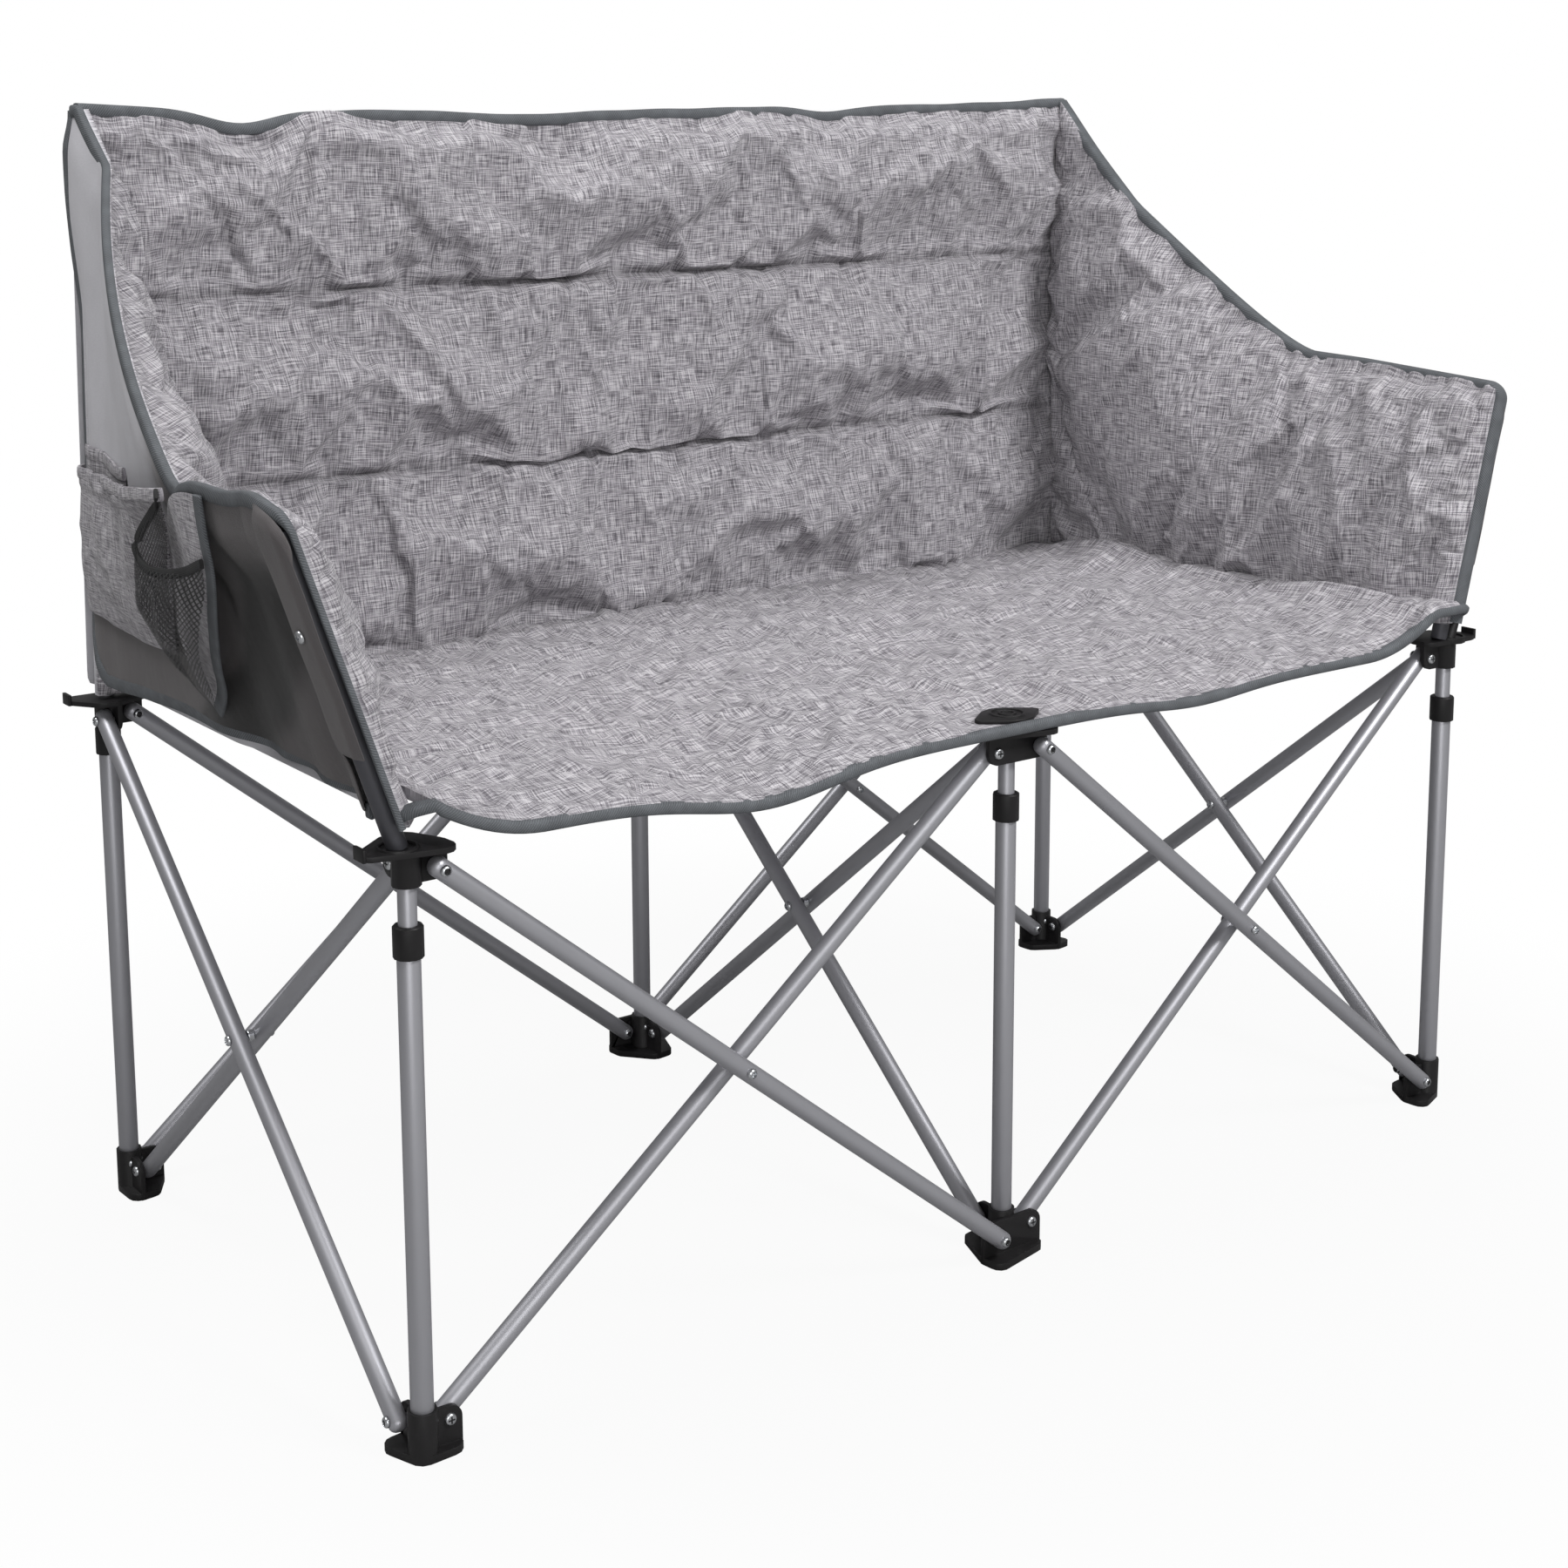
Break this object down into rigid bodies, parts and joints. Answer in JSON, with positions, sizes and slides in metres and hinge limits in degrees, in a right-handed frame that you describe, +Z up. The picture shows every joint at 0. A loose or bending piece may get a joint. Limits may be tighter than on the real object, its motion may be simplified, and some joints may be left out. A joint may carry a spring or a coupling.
{
  "type": "folding camping loveseat",
  "caption": "Folding camping loveseat: padded grey cover with winged arms and side pockets on a scissor frame of steel tube, with telescopic legs and black moulded feet and hubs.",
  "frame": {"origin": "on the ground at the middle of the six feet, which is the middle of the overall box", "axes": "+Z up, +Y from front to back, so the sitter faces -Y; +X to the sitter's left, which is the right side seen from the front"},
  "size_m": [1.3018, 0.611, 0.95],
  "materials": {
    "grey_tube": "satin silver-grey paint",
    "dark_tube": "satin dark grey paint",
    "black_moulding": "fine matte moulding",
    "melange": "grey melange weave, padded",
    "lining": "dark grey plain weave",
    "net": "black mesh"
  },
  "bodies": {
    "leg_front_left": {"foot_front_left": "black_moulding", "lower_tube_front_left": "grey_tube", "collar_front_left": "black_moulding"},
    "hub_front_left": {"hub_front_left": "black_moulding", "upper_tube_front_left": "grey_tube", "arm_post_left": "dark_tube"},
    "leg_front_centre": {"foot_front_centre": "black_moulding", "lower_tube_front_centre": "grey_tube", "collar_front_centre": "black_moulding"},
    "hub_front_centre": {"hub_front_centre": "black_moulding", "upper_tube_front_centre": "grey_tube", "clamp_plate": "black_moulding", "seat_border": "melange"},
    "leg_front_right": {"foot_front_right": "black_moulding", "lower_tube_front_right": "grey_tube", "collar_front_right": "black_moulding"},
    "hub_front_right": {"hub_front_right": "black_moulding", "upper_tube_front_right": "grey_tube", "arm_post_right": "dark_tube"},
    "leg_rear_left": {"foot_rear_left": "black_moulding", "lower_tube_rear_left": "grey_tube", "collar_rear_left": "black_moulding"},
    "hub_rear_left": {"hub_rear_left": "black_moulding", "upper_tube_rear_left": "grey_tube", "arm_pad_left": "melange", "side_panel_left": "lining", "pouch_pocket": "melange", "cup_holder": "net"},
    "leg_rear_centre": {"foot_rear_centre": "black_moulding", "lower_tube_rear_centre": "grey_tube", "collar_rear_centre": "black_moulding"},
    "hub_rear_centre": {"hub_rear_centre": "black_moulding", "upper_tube_rear_centre": "grey_tube", "back_pad": "melange", "back_panel": "lining"},
    "leg_rear_right": {"foot_rear_right": "black_moulding", "lower_tube_rear_right": "grey_tube", "collar_rear_right": "black_moulding"},
    "hub_rear_right": {"hub_rear_right": "black_moulding", "upper_tube_rear_right": "grey_tube", "arm_pad_right": "melange", "side_panel_right": "lining"},
    "brace_front_left_to_front_centre": {"brace_front_left_to_front_centre": "grey_tube"},
    "brace_front_left_to_rear_left": {"brace_front_left_to_rear_left": "grey_tube"},
    "brace_front_centre_to_front_left": {"brace_front_centre_to_front_left": "grey_tube"},
    "brace_front_centre_to_front_right": {"brace_front_centre_to_front_right": "grey_tube"},
    "brace_front_centre_to_rear_centre": {"brace_front_centre_to_rear_centre": "grey_tube"},
    "brace_front_right_to_front_centre": {"brace_front_right_to_front_centre": "grey_tube"},
    "brace_front_right_to_rear_right": {"brace_front_right_to_rear_right": "grey_tube"},
    "brace_rear_left_to_rear_centre": {"brace_rear_left_to_rear_centre": "grey_tube"},
    "brace_rear_left_to_front_left": {"brace_rear_left_to_front_left": "grey_tube"},
    "brace_rear_centre_to_rear_left": {"brace_rear_centre_to_rear_left": "grey_tube"},
    "brace_rear_centre_to_rear_right": {"brace_rear_centre_to_rear_right": "grey_tube"},
    "brace_rear_centre_to_front_centre": {"brace_rear_centre_to_front_centre": "grey_tube"},
    "brace_rear_right_to_rear_centre": {"brace_rear_right_to_rear_centre": "grey_tube"},
    "brace_rear_right_to_front_right": {"brace_rear_right_to_front_right": "grey_tube"},
    "seat_front_half": {"seat_front": "melange"},
    "seat_rear_half": {"seat_rear": "melange"}
  },
  "joints": [
    {"name": "fold", "type": "hinge", "parent": "leg_front_centre", "child": "brace_front_left_to_front_centre", "pos_m": [-0.021, -0.2945, 0.024], "axis": [0, 1, 0], "range_deg": [0, 45], "deforming": ["seat_border", "seat_front", "seat_rear", "back_pad", "back_panel", "arm_pad_left", "arm_pad_right", "side_panel_left", "side_panel_right", "pouch_pocket", "cup_holder"]},
    {"name": "cross_front_centre_to_front_left", "type": "hinge", "parent": "brace_front_left_to_front_centre", "child": "brace_front_centre_to_front_left", "pos_m": [-0.2725, -0.2785, 0.229], "axis": [0, 1, 0], "range_deg": [-90, 0]},
    {"name": "foot_front_left", "type": "hinge", "parent": "brace_front_centre_to_front_left", "child": "leg_front_left", "pos_m": [-0.524, -0.2625, 0.024], "axis": [0, 1, 0], "range_deg": [0, 45]},
    {"name": "hub_front_left", "type": "hinge", "parent": "brace_front_left_to_front_centre", "child": "hub_front_left", "pos_m": [-0.524, -0.2825, 0.434], "axis": [0, 1, 0], "range_deg": [-45, 0]},
    {"name": "hub_front_centre", "type": "hinge", "parent": "brace_front_centre_to_front_left", "child": "hub_front_centre", "pos_m": [-0.021, -0.2745, 0.434], "axis": [0, 1, 0], "range_deg": [0, 45]},
    {"name": "base_front_right_to_front_centre", "type": "hinge", "parent": "leg_front_centre", "child": "brace_front_right_to_front_centre", "pos_m": [0.021, -0.2745, 0.024], "axis": [0, -1, 0], "range_deg": [0, 45]},
    {"name": "cross_front_centre_to_front_right", "type": "hinge", "parent": "brace_front_right_to_front_centre", "child": "brace_front_centre_to_front_right", "pos_m": [0.2725, -0.2785, 0.229], "axis": [0, -1, 0], "range_deg": [-90, 0]},
    {"name": "foot_front_right", "type": "hinge", "parent": "brace_front_centre_to_front_right", "child": "leg_front_right", "pos_m": [0.524, -0.2825, 0.024], "axis": [0, -1, 0], "range_deg": [0, 45]},
    {"name": "hub_front_right", "type": "hinge", "parent": "brace_front_right_to_front_centre", "child": "hub_front_right", "pos_m": [0.524, -0.2625, 0.434], "axis": [0, -1, 0], "range_deg": [-45, 0]},
    {"name": "base_rear_centre_to_front_centre", "type": "hinge", "parent": "leg_front_centre", "child": "brace_rear_centre_to_front_centre", "pos_m": [-0.01, -0.2515, 0.024], "axis": [1, 0, 0], "range_deg": [0, 45]},
    {"name": "cross_front_centre_to_rear_centre", "type": "hinge", "parent": "brace_rear_centre_to_front_centre", "child": "brace_front_centre_to_rear_centre", "pos_m": [0, 0, 0.229], "axis": [1, 0, 0], "range_deg": [-90, 0]},
    {"name": "foot_rear_centre", "type": "hinge", "parent": "brace_front_centre_to_rear_centre", "child": "leg_rear_centre", "pos_m": [0.01, 0.2515, 0.024], "axis": [1, 0, 0], "range_deg": [0, 45]},
    {"name": "hub_rear_centre", "type": "hinge", "parent": "brace_rear_centre_to_front_centre", "child": "hub_rear_centre", "pos_m": [-0.01, 0.2515, 0.434], "axis": [1, 0, 0], "range_deg": [-45, 0]},
    {"name": "base_rear_left_to_front_left", "type": "hinge", "parent": "leg_front_left", "child": "brace_rear_left_to_front_left", "pos_m": [-0.555, -0.2515, 0.024], "axis": [1, 0, 0], "range_deg": [0, 45]},
    {"name": "cross_front_left_to_rear_left", "type": "hinge", "parent": "brace_rear_left_to_front_left", "child": "brace_front_left_to_rear_left", "pos_m": [-0.545, 0, 0.229], "axis": [1, 0, 0], "range_deg": [-90, 0]},
    {"name": "foot_rear_left", "type": "hinge", "parent": "brace_front_left_to_rear_left", "child": "leg_rear_left", "pos_m": [-0.535, 0.2515, 0.024], "axis": [1, 0, 0], "range_deg": [0, 45]},
    {"name": "hub_rear_left", "type": "hinge", "parent": "brace_rear_left_to_front_left", "child": "hub_rear_left", "pos_m": [-0.555, 0.2515, 0.434], "axis": [1, 0, 0], "range_deg": [-45, 0]},
    {"name": "base_rear_right_to_front_right", "type": "hinge", "parent": "leg_front_right", "child": "brace_rear_right_to_front_right", "pos_m": [0.535, -0.2515, 0.024], "axis": [1, 0, 0], "range_deg": [0, 45]},
    {"name": "cross_front_right_to_rear_right", "type": "hinge", "parent": "brace_rear_right_to_front_right", "child": "brace_front_right_to_rear_right", "pos_m": [0.545, 0, 0.229], "axis": [1, 0, 0], "range_deg": [-90, 0]},
    {"name": "foot_rear_right", "type": "hinge", "parent": "brace_front_right_to_rear_right", "child": "leg_rear_right", "pos_m": [0.555, 0.2515, 0.024], "axis": [1, 0, 0], "range_deg": [0, 45]},
    {"name": "hub_rear_right", "type": "hinge", "parent": "brace_rear_right_to_front_right", "child": "hub_rear_right", "pos_m": [0.535, 0.2515, 0.434], "axis": [1, 0, 0], "range_deg": [-45, 0]},
    {"name": "base_rear_left_to_rear_centre", "type": "hinge", "parent": "leg_rear_centre", "child": "brace_rear_left_to_rear_centre", "pos_m": [-0.021, 0.2745, 0.024], "axis": [0, 1, 0], "range_deg": [0, 45]},
    {"name": "cross_rear_centre_to_rear_left", "type": "hinge", "parent": "brace_rear_left_to_rear_centre", "child": "brace_rear_centre_to_rear_left", "pos_m": [-0.2725, 0.2785, 0.229], "axis": [0, 1, 0], "range_deg": [-90, 0]},
    {"name": "base_rear_right_to_rear_centre", "type": "hinge", "parent": "leg_rear_centre", "child": "brace_rear_right_to_rear_centre", "pos_m": [0.021, 0.2945, 0.024], "axis": [0, -1, 0], "range_deg": [0, 45]},
    {"name": "cross_rear_centre_to_rear_right", "type": "hinge", "parent": "brace_rear_right_to_rear_centre", "child": "brace_rear_centre_to_rear_right", "pos_m": [0.2725, 0.2785, 0.229], "axis": [0, -1, 0], "range_deg": [-90, 0]},
    {"name": "seat_front_crease", "type": "hinge", "parent": "hub_front_centre", "child": "seat_front_half", "pos_m": [0, -0.2425, 0.4613], "axis": [1, 0, 0], "range_deg": [0, 83.03]},
    {"name": "seat_rear_crease", "type": "hinge", "parent": "hub_rear_centre", "child": "seat_rear_half", "pos_m": [0, 0.2571, 0.4613], "axis": [1, 0, 0], "range_deg": [-83.03, 0]}
  ],
  "couplings": [
    {"joint": "cross_front_centre_to_front_left", "follows": "fold", "ratio": -2},
    {"joint": "foot_front_left", "follows": "fold", "ratio": 1},
    {"joint": "hub_front_left", "follows": "fold", "ratio": -1},
    {"joint": "hub_front_centre", "follows": "fold", "ratio": 1},
    {"joint": "base_front_right_to_front_centre", "follows": "fold", "ratio": 1},
    {"joint": "cross_front_centre_to_front_right", "follows": "fold", "ratio": -2},
    {"joint": "foot_front_right", "follows": "fold", "ratio": 1},
    {"joint": "hub_front_right", "follows": "fold", "ratio": -1},
    {"joint": "base_rear_centre_to_front_centre", "follows": "fold", "ratio": 1},
    {"joint": "cross_front_centre_to_rear_centre", "follows": "fold", "ratio": -2},
    {"joint": "foot_rear_centre", "follows": "fold", "ratio": 1},
    {"joint": "hub_rear_centre", "follows": "fold", "ratio": -1},
    {"joint": "base_rear_left_to_front_left", "follows": "fold", "ratio": 1},
    {"joint": "cross_front_left_to_rear_left", "follows": "fold", "ratio": -2},
    {"joint": "foot_rear_left", "follows": "fold", "ratio": 1},
    {"joint": "hub_rear_left", "follows": "fold", "ratio": -1},
    {"joint": "base_rear_right_to_front_right", "follows": "fold", "ratio": 1},
    {"joint": "cross_front_right_to_rear_right", "follows": "fold", "ratio": -2},
    {"joint": "foot_rear_right", "follows": "fold", "ratio": 1},
    {"joint": "hub_rear_right", "follows": "fold", "ratio": -1},
    {"joint": "base_rear_left_to_rear_centre", "follows": "fold", "ratio": 1},
    {"joint": "cross_rear_centre_to_rear_left", "follows": "fold", "ratio": -2},
    {"joint": "base_rear_right_to_rear_centre", "follows": "fold", "ratio": 1},
    {"joint": "cross_rear_centre_to_rear_right", "follows": "fold", "ratio": -2},
    {"joint": "seat_front_crease", "follows": "fold", "ratio": 1.845},
    {"joint": "seat_rear_crease", "follows": "fold", "ratio": -1.845}
  ]
}
